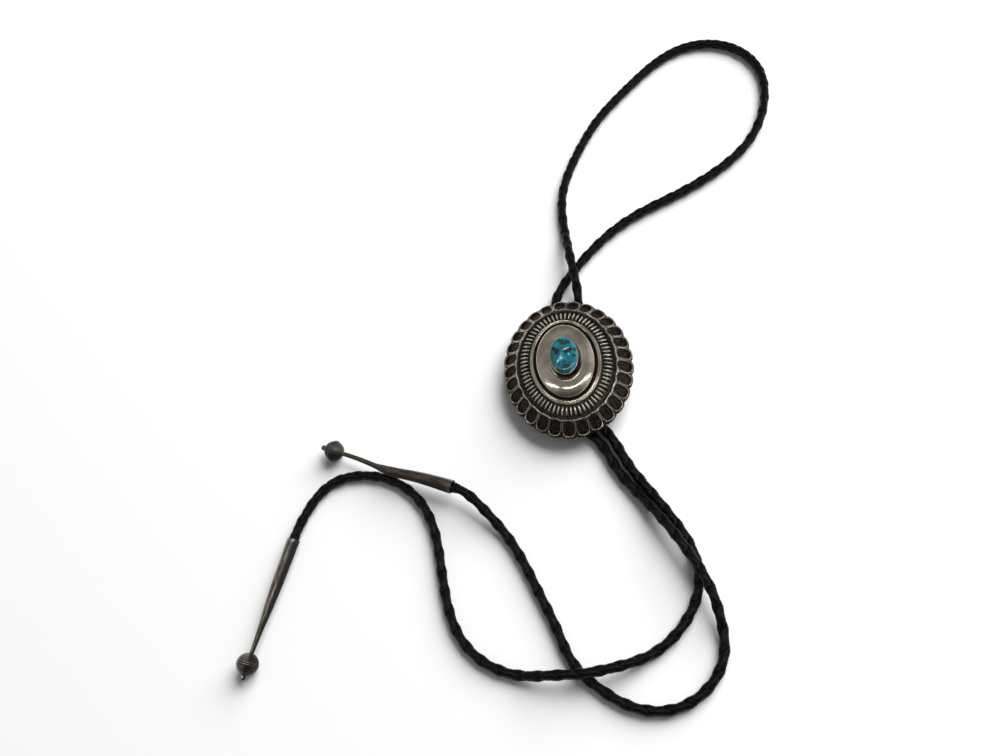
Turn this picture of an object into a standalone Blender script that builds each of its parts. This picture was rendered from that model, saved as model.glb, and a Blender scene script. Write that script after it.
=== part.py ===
"""Bolo tie: a domed, scalloped silver concho with a turquoise stone, carried by a slide clasp on
one braided leather cord, whose two ends are set in silver cone tips.

Frame: the tie lies on a table at z = 0. The origin is under the concho's centre, +Y runs along the
concho's long axis towards the neck loop, and +Z is up, through the stone.
"""
import math

import bmesh
import bpy
import numpy as np
from mathutils import Matrix, Vector

MM = 0.001
CLEARANCE = 0.3 * MM
TABLE_GAP = 0.05 * MM

# Cord
CORD_DIAMETER = 4.0 * MM
CORD_STEP = 24.0 * MM
CORD_TURN = math.radians(26)
CORD_STRAIGHT = 1.5 * MM
CORD_REST = CORD_DIAMETER / 2 + TABLE_GAP

# Slide clasp on the concho's back
CLASP_LENGTH = 22.0 * MM
CLASP_FLOOR = 0.5 * MM
CLASP_SIDE = 0.8 * MM
CLASP_ROOF = 0.3 * MM
CORD_SPACING = 7.8 * MM
BACK_PLATE = 0.8 * MM
CHANNEL_RADIUS = CORD_DIAMETER / 2 + CLEARANCE
CHANNEL_SIDES = 20
CHANNEL_HEIGHT = CLASP_FLOOR + CHANNEL_RADIUS
CLASP_HEIGHT = CHANNEL_HEIGHT + CHANNEL_RADIUS + CLASP_ROOF
CLASP_WIDTH = CORD_SPACING + 2 * (CHANNEL_RADIUS + CLASP_SIDE)

# Concho, from its rim inwards
CONCHO_LENGTH = 61.3 * MM
CONCHO_WIDTH = 52.9 * MM
LOBES = 29
LOBE_PHASE = 0.08
SCALLOP_DEPTH = 1.1 * MM
RIM_SIDE = 1.7 * MM
BORDER_WIDTH = 5.9 * MM
BORDER_RISE = 4.4 * MM
CELL_DEPTH = 0.55 * MM
RIBS = 70
RIB_BAND_WIDTH = 5.85 * MM
RIB_BAND_RISE = 1.9 * MM
RIB_HEIGHT = 0.7 * MM
RING_WIDTH = 2.65 * MM
RING_HEIGHT = 1.15 * MM
DOME_RISE = 3.8 * MM
SHELL_WALL = 1.3 * MM
RIM_LAND = 1.8 * MM
RIM_WALL_HEIGHT = 1.1 * MM

# Stone and its bezel
STONE_LENGTH = 15.8 * MM
STONE_WIDTH = 10.5 * MM
STONE_GIRDLE = 1.7 * MM
STONE_CROWN = 1.1 * MM
BEZEL_WALL = 0.45 * MM
BEZEL_HEIGHT = 2.0 * MM
BEZEL_PAD_MARGIN = 1.0 * MM
BEZEL_PAD_HEIGHT = 0.5 * MM

# Cone tips
BALL_DIAMETER = 8.4 * MM
BALL_BAND_WIDTH = 1.3 * MM
BALL_BAND_RISE = 0.22 * MM
BEAD_DIAMETER = 2.3 * MM
CONE_MOUTH_WALL = 0.5 * MM
CONE_NECK_DIAMETER = 1.7 * MM
SOCKET_DEPTH = 9.0 * MM
TIP_A_LENGTH = 54.8 * MM
TIP_B_LENGTH = 50.6 * MM
SOCKET_RADIUS = CORD_DIAMETER / 2 + CLEARANCE
MOUTH_RADIUS = SOCKET_RADIUS + CONE_MOUTH_WALL

# Where each tip's mouth lies, and the way its ball points from there, in the plane of the table
TIP_A_MOUTH = (-52.5 * MM, -42.5 * MM, 7.0 * MM)
TIP_A_HEADING = (-0.891, 0.454)
TIP_B_MOUTH = (-120.2 * MM, -52.4 * MM, 3.0 * MM)
TIP_B_HEADING = (-0.378, -0.926)

# The cord's way over the table, in mm, between the tips and the clasp
TAIL_TO_TIP_B = [
    (11.9, -30.2), (17.5, -43.0), (23.9, -55.3), (30.5, -67.5), (35.6, -80.3), (35.6, -94.1),
    (28.7, -106.1), (17.9, -114.7), (4.7, -119.0), (-9.0, -120.3), (-22.7, -119.4), (-36.3, -116.8),
    (-48.3, -110.1), (-56.4, -98.9), (-59.7, -85.5), (-60.8, -71.6), (-62.2, -57.8), (-67.0, -44.8),
    (-76.5, -34.9), (-89.3, -29.8), (-102.9, -30.7), (-113.4, -39.7),
]
NECK_LOOP = [
    (8.4, 32.8), (8.3, 46.5), (7.6, 60.4), (7.3, 74.4), (9.2, 88.3), (14.7, 101.3), (22.0, 113.3),
    (30.5, 124.4), (40.7, 134.1), (51.6, 143.0), (63.1, 151.0), (76.3, 155.7), (90.2, 154.0),
    (101.3, 145.7), (106.7, 132.9), (105.7, 119.0), (100.6, 105.9), (92.2, 94.7), (80.9, 86.3),
    (68.4, 80.0), (55.2, 75.1), (41.9, 70.6), (29.3, 64.5), (17.9, 56.2), (8.0, 46.9), (-0.4, 36.0),
]
TAIL_TO_TIP_A = [
    (7.8, -32.6), (13.5, -45.0), (20.2, -57.0), (27.1, -68.8), (33.3, -81.0), (38.4, -93.6),
    (40.8, -107.1), (39.4, -120.6), (31.1, -131.2), (18.5, -136.1), (5.2, -133.8), (-5.9, -126.0),
    (-14.5, -115.7), (-18.9, -102.7), (-23.3, -89.8), (-27.9, -76.9), (-33.5, -64.5), (-41.1, -53.1),
]
# Where the cord climbs over itself, in mm: place, half of the flat top, slope up and slope down
CROSSING_HUMPS = {
    "neck_loop": [(8.3, 46.7, 4.5, 12.0, 20.0)],
    "tail_to_tip_b": [(-10.8, -120.4, 8.0, 20.0, 20.0)],
    "tail_to_tip_a": [(36.2, -87.5, 10.0, 35.0, 20.0)],
}
CLASP_SLOPE = 10.0 * MM
TIP_A_SLOPE = 30.0 * MM
TIP_B_SLOPE = 12.0 * MM


def clear_scene():
    for old in list(bpy.data.objects):
        bpy.data.objects.remove(old, do_unlink=True)


def metal(name, colour, roughness):
    material = bpy.data.materials.new(name)
    material.use_nodes = True
    shader = material.node_tree.nodes["Principled BSDF"]
    shader.inputs["Base Color"].default_value = (*colour, 1.0)
    shader.inputs["Roughness"].default_value = roughness
    shader.inputs["Metallic"].default_value = 1.0
    return material


def plain(name, colour, roughness):
    material = metal(name, colour, roughness)
    material.node_tree.nodes["Principled BSDF"].inputs["Metallic"].default_value = 0.0
    return material


def add_object(name, data, material):
    made = bpy.data.objects.new(name, data)
    bpy.context.collection.objects.link(made)
    data.materials.append(material)
    return made


def smooth(mesh, sharp_degrees):
    mesh.shade_smooth()
    mesh.set_sharp_from_angle(angle=math.radians(sharp_degrees))


def smoothstep(x):
    x = min(max(x, 0.0), 1.0)
    return x * x * (3.0 - 2.0 * x)


# Loops of points, zipped into a closed skin

class Loop:
    """A closed loop of points. Each has its share of the way round, from 0 up to 1."""

    def __init__(self, shares, points):
        self.shares = shares
        self.points = points


def zip_loops(bm, outer, inner):
    """Fill the strip between two loops of vertices, whatever their counts."""
    (outer_shares, outer_verts), (inner_shares, inner_verts) = outer, inner
    i = j = 0
    while i < len(outer_verts) or j < len(inner_verts):
        next_outer = outer_shares[i + 1] if i + 1 < len(outer_verts) else 1.0 + outer_shares[0]
        next_inner = inner_shares[j + 1] if j + 1 < len(inner_verts) else 1.0 + inner_shares[0]
        here_outer = outer_verts[i % len(outer_verts)]
        here_inner = inner_verts[j % len(inner_verts)]
        if j == len(inner_verts) or (i < len(outer_verts) and next_outer <= next_inner):
            i += 1
            bm.faces.new((here_outer, outer_verts[i % len(outer_verts)], here_inner))
        else:
            j += 1
            bm.faces.new((here_outer, inner_verts[j % len(inner_verts)], here_inner))


def close_with_fan(bm, verts, centre):
    hub = bm.verts.new(centre)
    for k, vert in enumerate(verts):
        bm.faces.new((vert, verts[(k + 1) % len(verts)], hub))


def skin_mesh(name, loops, first_centre, last_centre):
    """A closed mesh through a stack of loops, with a fan at each end."""
    bm = bmesh.new()
    rows = [(loop.shares, [bm.verts.new(p) for p in loop.points]) for loop in loops]
    for row, next_row in zip(rows, rows[1:]):
        zip_loops(bm, row, next_row)
    close_with_fan(bm, rows[0][1], first_centre)
    close_with_fan(bm, rows[-1][1], last_centre)
    bmesh.ops.recalc_face_normals(bm, faces=bm.faces)
    mesh = bpy.data.meshes.new(name)
    bm.to_mesh(mesh)
    bm.free()
    return mesh


# The concho's oval, and bands that keep a steady width inside it

OVAL_SAMPLES = 2880


def oval_angles():
    """For each share of the way round the cells, the angle on the concho's outer oval."""
    angles = np.linspace(0.0, 2.0 * math.pi, OVAL_SAMPLES + 1)
    x, y = band_xy(angles, BORDER_WIDTH / 2)
    steps = np.hypot(np.diff(x), np.diff(y))
    return np.concatenate([[0.0], np.cumsum(steps)]) / steps.sum(), angles


def band_xy(angle, inset):
    """The point of the outer oval at an angle, moved straight inwards by the inset."""
    across, along = CONCHO_WIDTH / 2, CONCHO_LENGTH / 2
    x, y = across * np.sin(angle), along * np.cos(angle)
    normal_x, normal_y = np.sin(angle) / across, np.cos(angle) / along
    size = np.hypot(normal_x, normal_y)
    return x - inset * normal_x / size, y - inset * normal_y / size


def band_loop(shares, insets, heights):
    known_shares, known_angles = oval_angles()
    angles = np.interp(shares, known_shares, known_angles)
    x, y = band_xy(angles, np.asarray(insets))
    return Loop(list(shares), [Vector(p) for p in zip(x, y, heights)])


def oval_loop(shares, length, width, height, towards=None, blend=1.0):
    """An oval of its own length and width, or a share of the way to it from a band."""
    known_shares, known_angles = oval_angles()
    angles = np.interp(shares, known_shares, known_angles)
    points = [Vector((width / 2 * math.sin(a), length / 2 * math.cos(a), height)) for a in angles]
    if towards is not None:
        points = [Vector((*a.lerp(b, blend).xy, height)) for a, b in zip(towards.points, points)]
    return Loop(list(shares), points)


# One lobe's points: place from its middle, -1 to 1, and whether it is on the wall between cells
LOBE_POINTS = [(-1.0, 1), (-0.82, 0), (-0.45, 0), (0.0, 0), (0.45, 0), (0.82, 0)]
# One rib's points: share of the pitch, and share of the rib's height
RIB_POINTS = [(0.0, 0.0), (0.27, 0.8), (0.5, 1.0), (0.73, 0.8)]
# Rim below the border's edge: share of the border's width, share of the rim's side
RIM_SECTIONS = [(0.05, -1.0), (0.0, -0.3)]
# Border: share of its width, share of its rise, share of the scallop, share of the cell's depth
BORDER_SECTIONS = [
    (0.01, 0.00, 1.00, 0.0),
    (0.085, 0.13, 1.00, 0.0),
    (0.17, 0.06, 1.00, 1.0),
    (0.42, 0.32, 0.55, 1.0),
    (0.87, 0.79, -0.15, 1.0),
    (1.00, 1.02, -0.22, 0.0),
    (1.12, 0.98, -0.18, 0.0),
]
# Rib band: share of its width, share of its rise, share of the rib's height
RIB_SECTIONS = [(0.24, 0.05, 0.0), (0.33, 0.17, 1.0), (0.88, 0.90, 1.0), (0.96, 1.0, 0.0)]
# Raised ring and the groove inside it: share of the ring's width, share of its height
RING_SECTIONS = [
    (0.02, 0.05), (0.16, 0.80), (0.38, 1.00), (0.50, 0.80), (0.60, 1.02), (0.72, 0.92),
    (0.80, 0.50), (0.93, 0.50), (1.00, 1.10),
]
# Dome, from its edge to the bezel's pad: share of the way, share of the rise
DOME_SECTIONS = [(0.06, 0.52), (0.28, 0.74), (0.62, 0.93), (1.00, 1.00)]
SMOOTH_POINTS = 52

RIM_Z = CLASP_HEIGHT
OUTLINE_Z = RIM_Z + RIM_SIDE
RIDGE_Z = OUTLINE_Z + BORDER_RISE
RING_FOOT_Z = RIDGE_Z + RIB_BAND_RISE
PAD_FOOT_Z = RING_FOOT_Z + DOME_RISE
PAD_TOP_Z = PAD_FOOT_Z + BEZEL_PAD_HEIGHT
BEZEL_TOP_Z = PAD_TOP_Z + BEZEL_HEIGHT
RIB_BAND_INSET = BORDER_WIDTH
RING_INSET = RIB_BAND_INSET + RIB_BAND_WIDTH
DOME_INSET = RING_INSET + RING_WIDTH
SEAT_LENGTH = STONE_LENGTH + 2 * CLEARANCE
SEAT_WIDTH = STONE_WIDTH + 2 * CLEARANCE
BEZEL_LENGTH = SEAT_LENGTH + 2 * BEZEL_WALL
BEZEL_WIDTH = SEAT_WIDTH + 2 * BEZEL_WALL
PAD_LENGTH = BEZEL_LENGTH + 2 * BEZEL_PAD_MARGIN
PAD_WIDTH = BEZEL_WIDTH + 2 * BEZEL_PAD_MARGIN


def lobe_depth(place):
    """How far the scalloped edge falls back from a lobe's tip, as a share of its depth."""
    return 1.0 - math.sqrt(1.0 - 0.96 * place * place)


def border_shares():
    shares = []
    for lobe in range(LOBES):
        shares += [(lobe + LOBE_PHASE + place / 2) / LOBES for place, _ in LOBE_POINTS]
    return shares


def border_loop(across, rise, scallop, cell, base=0.0):
    insets, heights = [], []
    for _ in range(LOBES):
        for place, on_wall in LOBE_POINTS:
            insets.append(across * BORDER_WIDTH + scallop * SCALLOP_DEPTH * lobe_depth(place))
            heights.append(OUTLINE_Z + base + rise * BORDER_RISE + on_wall * cell * CELL_DEPTH)
    return band_loop(border_shares(), insets, heights)


def rib_loop(across, rise, rib):
    shares = [(k + place) / RIBS for k in range(RIBS) for place, _ in RIB_POINTS]
    inset = RIB_BAND_INSET + across * RIB_BAND_WIDTH
    floor = RIDGE_Z + rise * RIB_BAND_RISE
    heights = [floor + rib * lift * RIB_HEIGHT for _ in range(RIBS) for _, lift in RIB_POINTS]
    return band_loop(shares, [inset] * len(shares), heights)


def smooth_shares():
    return [k / SMOOTH_POINTS for k in range(SMOOTH_POINTS)]


def steady_loop(inset, height):
    return band_loop(smooth_shares(), [inset] * SMOOTH_POINTS, [height] * SMOOTH_POINTS)


def concho_underside():
    """From the middle of the hollow out to the rim's flat foot."""
    shares = smooth_shares()
    dome_edge = steady_loop(DOME_INSET, 0.0)
    ceiling = PAD_FOOT_Z - SHELL_WALL
    return [
        oval_loop(shares, BEZEL_LENGTH, BEZEL_WIDTH, ceiling),
        oval_loop(shares, BEZEL_LENGTH, BEZEL_WIDTH, ceiling - 0.2 * DOME_RISE, dome_edge, 0.45),
        steady_loop(DOME_INSET, RING_FOOT_Z + 0.25 * RING_HEIGHT - SHELL_WALL),
        steady_loop(RING_INSET, RING_FOOT_Z - SHELL_WALL),
        steady_loop(RIB_BAND_INSET, RIDGE_Z - SHELL_WALL - CELL_DEPTH),
        steady_loop(RIM_LAND, RIM_Z + RIM_WALL_HEIGHT),
        steady_loop(RIM_LAND, RIM_Z),
    ]


def concho_face():
    """From the rim's flat foot over the border, the ribs, the ring and the dome to the bezel."""
    loops = [border_loop(across, 0.0, 1.0, 0.0, base=side * RIM_SIDE) for across, side in RIM_SECTIONS]
    loops += [border_loop(*section) for section in BORDER_SECTIONS]
    loops += [rib_loop(*section) for section in RIB_SECTIONS]
    loops += [
        steady_loop(RING_INSET + across * RING_WIDTH, RING_FOOT_Z + rise * RING_HEIGHT)
        for across, rise in RING_SECTIONS
    ]
    dome_edge = steady_loop(DOME_INSET, 0.0)
    loops += [
        oval_loop(smooth_shares(), PAD_LENGTH, PAD_WIDTH, RING_FOOT_Z + rise * DOME_RISE, dome_edge, way)
        for way, rise in DOME_SECTIONS
    ]
    for length, width, height in (
        (PAD_LENGTH, PAD_WIDTH, PAD_TOP_Z),
        (BEZEL_LENGTH, BEZEL_WIDTH, PAD_TOP_Z),
        (BEZEL_LENGTH, BEZEL_WIDTH, BEZEL_TOP_Z),
        (SEAT_LENGTH, SEAT_WIDTH, BEZEL_TOP_Z),
        (SEAT_LENGTH, SEAT_WIDTH, PAD_TOP_Z),
    ):
        loops.append(oval_loop(smooth_shares(), length, width, height))
    return loops


def make_concho(silver):
    under, face = concho_underside(), concho_face()
    mesh = skin_mesh("concho", under + face, (0, 0, PAD_FOOT_Z - SHELL_WALL), (0, 0, PAD_TOP_Z))
    smooth(mesh, 28)
    return add_object("concho", mesh, silver)


# Turquoise stone: share of the half width kept, share of the crown's height
CROWN_SECTIONS = [(0.97, 0.30), (0.84, 0.66), (0.60, 0.88), (0.30, 0.98)]
STONE_POINTS = 28


def make_stone(turquoise):
    shares = [k / STONE_POINTS for k in range(STONE_POINTS)]
    seat = PAD_TOP_Z + CLEARANCE
    girdle = seat + STONE_GIRDLE
    loops = [
        oval_loop(shares, STONE_LENGTH, STONE_WIDTH, seat),
        oval_loop(shares, STONE_LENGTH, STONE_WIDTH, girdle),
    ]
    for kept, rise in CROWN_SECTIONS:
        height = girdle + rise * STONE_CROWN
        loops.append(oval_loop(shares, kept * STONE_LENGTH, kept * STONE_WIDTH, height))
    mesh = skin_mesh("turquoise_stone", loops, (0, 0, seat), (0, 0, girdle + STONE_CROWN))
    smooth(mesh, 40)
    return add_object("turquoise_stone", mesh, turquoise)


# Slide clasp: a back plate let into the concho's rim, over a block with two cord channels

def box_mesh(name, size, centre):
    bm = bmesh.new()
    bmesh.ops.create_cube(bm, size=1.0)
    bmesh.ops.scale(bm, vec=size, verts=bm.verts)
    bmesh.ops.translate(bm, vec=centre, verts=bm.verts)
    mesh = bpy.data.meshes.new(name)
    bm.to_mesh(mesh)
    bm.free()
    return mesh


def channel_cutter(name, x):
    bm = bmesh.new()
    bmesh.ops.create_cone(
        bm, cap_ends=True, segments=CHANNEL_SIDES, radius1=CHANNEL_RADIUS, radius2=CHANNEL_RADIUS,
        depth=2 * CLASP_LENGTH, matrix=Matrix.Rotation(math.pi / 2, 4, "X"),
    )
    mesh = bpy.data.meshes.new(name)
    bm.to_mesh(mesh)
    bm.free()
    return as_guide(name, mesh, (x, 0.0, CHANNEL_HEIGHT))


def as_guide(name, mesh, location=(0.0, 0.0, 0.0)):
    guide = bpy.data.objects.new(name, mesh)
    bpy.context.collection.objects.link(guide)
    guide.location = location
    guide.hide_render = True
    guide.display_type = "WIRE"
    return guide


def add_boolean(target, other, operation):
    step = target.modifiers.new(other.name, "BOOLEAN")
    step.operation = operation
    step.solver = "EXACT"
    step.object = other


def make_clasp(silver):
    plate_foot = CLASP_HEIGHT
    bite = BACK_PLATE / 2
    block = box_mesh(
        "slide_clasp", (CLASP_WIDTH, CLASP_LENGTH, CLASP_HEIGHT + bite), (0, 0, (CLASP_HEIGHT + bite) / 2)
    )
    clasp = add_object("slide_clasp", block, silver)
    rounding = clasp.modifiers.new("soft edges", "BEVEL")
    rounding.width = CLASP_SIDE / 2
    rounding.segments = 2
    plate_loops = [
        steady_loop(RIM_LAND + CLEARANCE, plate_foot),
        steady_loop(RIM_LAND + CLEARANCE, plate_foot + BACK_PLATE),
    ]
    plate = as_guide(
        "back_plate_outline",
        skin_mesh("back_plate_outline", plate_loops, (0, 0, plate_foot), (0, 0, plate_foot + BACK_PLATE)),
    )
    add_boolean(clasp, plate, "UNION")
    for side in (-1, 1):
        add_boolean(clasp, channel_cutter(f"channel_{side}", side * CORD_SPACING / 2), "DIFFERENCE")
    return clasp


# Cone tips, turned about +Z from the bead at the foot to the open mouth at the top

# Share of the way from the neck to the mouth, and share of the growth in radius
CONE_SECTIONS = [
    (0.0, 0.0), (0.14, 0.08), (0.28, 0.22), (0.38, 0.44), (0.50, 0.60), (0.66, 0.75), (0.84, 0.87),
]
# Banded equator: share of the band's half width, share of its rise
BAND_SECTIONS = [(-1.0, 0.15), (-0.55, 1.0), (0.0, -0.3), (0.55, 1.0), (1.0, 0.15)]
TURNED_SIDES = 16


def arc(centre, radius, degrees):
    """Points of a ball by their angle from its foot: distance along the axis, and radius."""
    angles = [math.radians(a) for a in degrees]
    return [(centre - radius * math.cos(a), radius * math.sin(a)) for a in angles]


def ball_profile():
    """Along the axis from the bead to the neck: distance from the ball's centre, and radius."""
    radius, bead = BALL_DIAMETER / 2, BEAD_DIAMETER / 2
    bead_centre = -(radius + 0.75 * bead)
    collar = math.degrees(math.asin(0.55 * bead / radius))
    profile = arc(bead_centre, bead, (35, 75, 115)) + arc(0.0, radius, (collar, 32, 55, 72))
    profile += [
        (place * BALL_BAND_WIDTH / 2, radius + rise * BALL_BAND_RISE) for place, rise in BAND_SECTIONS
    ]
    return profile + arc(0.0, radius, (108, 125, 148)), bead_centre - bead


def cone_profile(length):
    neck = CONE_NECK_DIAMETER / 2
    foot = math.sqrt((BALL_DIAMETER / 2) ** 2 - neck ** 2)
    return [
        (foot + way * (length - foot), neck + grow * (MOUTH_RADIUS - neck))
        for way, grow in CONE_SECTIONS
    ]


def make_tip(name, length, mouth, heading, silver):
    ball, bead_end = ball_profile()
    profile = ball + cone_profile(length)
    profile += [(length, MOUTH_RADIUS), (length, SOCKET_RADIUS), (length - SOCKET_DEPTH, SOCKET_RADIUS)]
    shares = [k / TURNED_SIDES for k in range(TURNED_SIDES)]
    loops = []
    for distance, radius in profile:
        points = [
            Vector((radius * math.sin(2 * math.pi * s), radius * math.cos(2 * math.pi * s), distance))
            for s in shares
        ]
        loops.append(Loop(shares, points))
    mesh = skin_mesh(name, loops, (0, 0, bead_end), (0, 0, length - SOCKET_DEPTH))
    smooth(mesh, 35)
    tip = add_object(name, mesh, silver)
    ball_centre, axis = tip_axis(length, mouth, heading)
    tip.location = ball_centre
    tip.rotation_mode = "QUATERNION"
    tip.rotation_quaternion = axis.to_track_quat("Z", "Y")
    return tip


def tip_axis(length, mouth, heading):
    """The ball's centre, resting on the table, and the way from it to the mouth."""
    mouth = Vector(mouth)
    ball_z = BALL_DIAMETER / 2 + BALL_BAND_RISE + TABLE_GAP
    drop = ball_z - mouth.z
    run = math.sqrt(length ** 2 - drop ** 2)
    flat = Vector((*heading, 0.0)).normalized()
    centre = mouth + run * flat + Vector((0, 0, drop))
    return centre, (mouth - centre).normalized()


# Cord

def curve_through(points, start_way, end_way, per_span=24):
    """A smooth curve through the points that leaves and arrives along the given ways."""
    points = np.array(points, float)
    chord = np.linalg.norm(np.diff(points, axis=0), axis=1)
    count = len(points)
    system, target = np.zeros((count, count)), np.zeros((count, 2))
    system[0, 0] = system[-1, -1] = 1.0
    target[0], target[-1] = start_way, end_way
    for i in range(1, count - 1):
        before, after = chord[i - 1], chord[i]
        system[i, i - 1:i + 2] = 1 / before, 2 / before + 2 / after, 1 / after
        target[i] = 3 * (points[i + 1] - points[i]) / after ** 2
        target[i] += 3 * (points[i] - points[i - 1]) / before ** 2
    slopes = np.linalg.solve(system, target)
    curve = []
    for i in range(count - 1):
        for u in np.linspace(0.0, 1.0, per_span, endpoint=False):
            curve.append(
                (2 * u ** 3 - 3 * u ** 2 + 1) * points[i] + (u ** 3 - 2 * u ** 2 + u) * chord[i] * slopes[i]
                + (3 * u ** 2 - 2 * u ** 3) * points[i + 1] + (u ** 3 - u ** 2) * chord[i] * slopes[i + 1]
            )
    curve.append(points[-1])
    return np.array(curve)


def lengths_along(points):
    return np.concatenate([[0.0], np.cumsum(np.linalg.norm(np.diff(points, axis=0), axis=1))])


def laid_stretch(plan, start_z, start_slope, end_z, end_slope, humps):
    """Give a plan curve its heights: on the table, but for its two ends and its humps."""
    along = lengths_along(plan)
    heights = []
    for point, s in zip(plan, along):
        z = CORD_REST
        z += (start_z - CORD_REST) * smoothstep(1.0 - s / start_slope)
        z += (end_z - CORD_REST) * smoothstep(1.0 - (along[-1] - s) / end_slope)
        heights.append(z)
    for x, y, flat, slope_up, slope_down in humps:
        top = along[np.argmin(np.hypot(plan[:, 0] - x * MM, plan[:, 1] - y * MM))]
        for k, s in enumerate(along):
            slope = slope_up if s < top else slope_down
            share = smoothstep(1.0 - (abs(s - top) - flat * MM) / (slope * MM))
            heights[k] += (CORD_DIAMETER + 2 * CLEARANCE) * share
    return np.column_stack([plan, heights])


def spaced(points):
    """Points along a curve, both ends included, closer together where it bends."""
    steps = np.diff(points, axis=0)
    lengths = np.linalg.norm(steps, axis=1)
    ways = steps / lengths[:, None]
    turns = np.arccos(np.clip((ways[1:] * ways[:-1]).sum(axis=1), -1.0, 1.0))
    shares = lengths / CORD_STEP + np.append(turns, 0.0) / CORD_TURN
    along = np.concatenate([[0.0], np.cumsum(shares)])
    marks = np.linspace(0.0, along[-1], max(1, round(along[-1])) + 1)
    return np.column_stack([np.interp(marks, along, points[:, k]) for k in range(3)])


def cord_path():
    """The cord's centreline from inside tip B, through the clasp and round the neck, to tip A."""
    _, axis_a = tip_axis(TIP_A_LENGTH, TIP_A_MOUTH, TIP_A_HEADING)
    _, axis_b = tip_axis(TIP_B_LENGTH, TIP_B_MOUTH, TIP_B_HEADING)
    mouth_a, mouth_b = np.array(TIP_A_MOUTH), np.array(TIP_B_MOUTH)
    hidden = SOCKET_DEPTH - CLEARANCE
    end_a, end_b = mouth_a - hidden * np.array(axis_a), mouth_b - hidden * np.array(axis_b)
    lead_a = mouth_a + CORD_STRAIGHT * np.array(axis_a)
    lead_b = mouth_b + CORD_STRAIGHT * np.array(axis_b)
    flat_a, flat_b = np.array(axis_a.xy.normalized()), np.array(axis_b.xy.normalized())
    side, reach = CORD_SPACING / 2, CLASP_LENGTH / 2 + CORD_STRAIGHT
    up, down = np.array([0.0, 1.0]), np.array([0.0, -1.0])

    def plan(start, route, end, start_way, end_way):
        points = [np.array(start)] + [np.array(p) * MM for p in route] + [np.array(end)]
        return curve_through(points, start_way, end_way)

    tail_b = plan(lead_b[:2], reversed(TAIL_TO_TIP_B), (side, -reach), flat_b, up)
    neck = plan((side, reach), NECK_LOOP, (-side, reach), up, down)
    tail_a = plan((-side, -reach), TAIL_TO_TIP_A, lead_a[:2], down, -flat_a)
    from_tip_b, to_tip_a = (lead_b[2], TIP_B_SLOPE), (lead_a[2], TIP_A_SLOPE)
    at_clasp = (CHANNEL_HEIGHT, CLASP_SLOPE)
    stretches = [
        laid_stretch(tail_b, *from_tip_b, *at_clasp, CROSSING_HUMPS["tail_to_tip_b"]),
        laid_stretch(neck, *at_clasp, *at_clasp, CROSSING_HUMPS["neck_loop"]),
        laid_stretch(tail_a, *at_clasp, *to_tip_a, CROSSING_HUMPS["tail_to_tip_a"]),
    ]
    return np.vstack([end_b] + [spaced(stretch) for stretch in stretches] + [end_a])


def make_cord(leather):
    path = cord_path()
    data = bpy.data.curves.new("cord", "CURVE")
    data.dimensions = "3D"
    data.bevel_depth = CORD_DIAMETER / 2
    data.bevel_resolution = 2
    data.use_fill_caps = True
    spline = data.splines.new("POLY")
    spline.points.add(len(path) - 1)
    for point, place in zip(spline.points, path):
        point.co = (*place, 1.0)
    return add_object("cord", data, leather)


def build():
    clear_scene()
    silver = metal("aged silver", (0.42, 0.39, 0.35), 0.32)
    dark_silver = metal("dark silver", (0.19, 0.17, 0.15), 0.42)
    turquoise = plain("turquoise", (0.02, 0.24, 0.33), 0.25)
    leather = plain("black leather", (0.012, 0.012, 0.016), 0.5)
    make_concho(silver)
    make_stone(turquoise)
    make_clasp(silver)
    make_tip("tip_a", TIP_A_LENGTH, TIP_A_MOUTH, TIP_A_HEADING, dark_silver)
    make_tip("tip_b", TIP_B_LENGTH, TIP_B_MOUTH, TIP_B_HEADING, dark_silver)
    make_cord(leather)


build()
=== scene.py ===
"""Bolo tie, dressed for its photograph: a domed silver concho with a turquoise stone on a slide
clasp, a black braided leather cord, and two dark silver cone tips.

All lengths are in metres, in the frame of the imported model: the table is z = 0, the origin is under
the concho's centre, and +Y runs towards the neck loop.
"""
import math

import bmesh
import bpy
import numpy as np
from mathutils import Matrix, Vector, noise


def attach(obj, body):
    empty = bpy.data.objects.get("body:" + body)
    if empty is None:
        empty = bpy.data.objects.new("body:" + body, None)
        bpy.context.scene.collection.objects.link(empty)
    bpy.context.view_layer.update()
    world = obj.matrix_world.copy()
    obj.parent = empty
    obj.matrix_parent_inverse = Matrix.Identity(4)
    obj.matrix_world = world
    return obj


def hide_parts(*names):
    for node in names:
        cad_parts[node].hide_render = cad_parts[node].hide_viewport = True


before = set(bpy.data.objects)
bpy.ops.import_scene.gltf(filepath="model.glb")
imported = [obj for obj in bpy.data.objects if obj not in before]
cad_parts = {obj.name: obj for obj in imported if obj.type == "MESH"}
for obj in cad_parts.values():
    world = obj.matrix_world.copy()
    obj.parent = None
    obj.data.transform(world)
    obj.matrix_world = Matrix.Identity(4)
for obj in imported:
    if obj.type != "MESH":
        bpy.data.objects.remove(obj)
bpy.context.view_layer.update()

MM = 0.001


# Camera: high over the table and rolled, so that the tie lies aslant in the picture. Its place
# was worked out from the cord's width and from the way the concho's ovals shift.

CAMERA_PLACE = Vector((21.4, -173.5, 377.67)) * MM
PICTURE_RIGHT = Vector((0.978, -0.1081, -0.1783))
LOOKING = Vector((-0.1171, 0.4224, -0.8988))
LENS_MM = 35.75


def placed(name, data):
    made = bpy.data.objects.new(name, data)
    bpy.context.collection.objects.link(made)
    return made


back = -LOOKING.normalized()
up = back.cross(PICTURE_RIGHT).normalized()
right = up.cross(back)
camera = placed("camera", bpy.data.cameras.new("camera"))
camera.data.lens = LENS_MM
camera.data.clip_start = 0.01
turned = Matrix((right, up, back)).transposed().to_4x4()
camera.matrix_world = Matrix.Translation(CAMERA_PLACE) @ turned
bpy.context.scene.camera = camera
bpy.context.scene.view_settings.view_transform = "Standard"


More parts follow.
